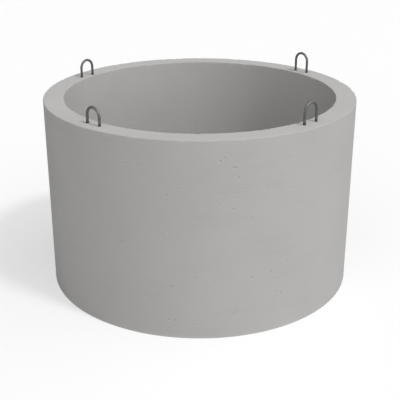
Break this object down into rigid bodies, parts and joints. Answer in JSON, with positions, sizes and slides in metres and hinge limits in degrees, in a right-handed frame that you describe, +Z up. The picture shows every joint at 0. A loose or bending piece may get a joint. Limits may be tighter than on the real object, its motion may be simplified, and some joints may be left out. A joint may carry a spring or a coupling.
{
  "type": "concrete culvert ring",
  "caption": "Plain precast concrete ring for culverts and wells, standing on end, with round steel lifting loops cast into its flat top rim.",
  "frame": {"origin": "centre of the ring's foot, on the plane it stands on", "axes": "+Z up along the ring's axis, out through the rim that carries the lifting loops; -Y is the front, and the loops stand at about -47, 39, 151 and 229 degrees from +X"},
  "size_m": [1.4498, 1.4498, 0.989],
  "materials": {
    "concrete": "matte",
    "loop_steel": "satin"
  },
  "bodies": {
    "root": {"concrete_ring": "concrete", "lifting_loop_front_right": "loop_steel", "lifting_loop_back_right": "loop_steel", "lifting_loop_back_left": "loop_steel", "lifting_loop_front_left": "loop_steel"}
  },
  "joints": []
}
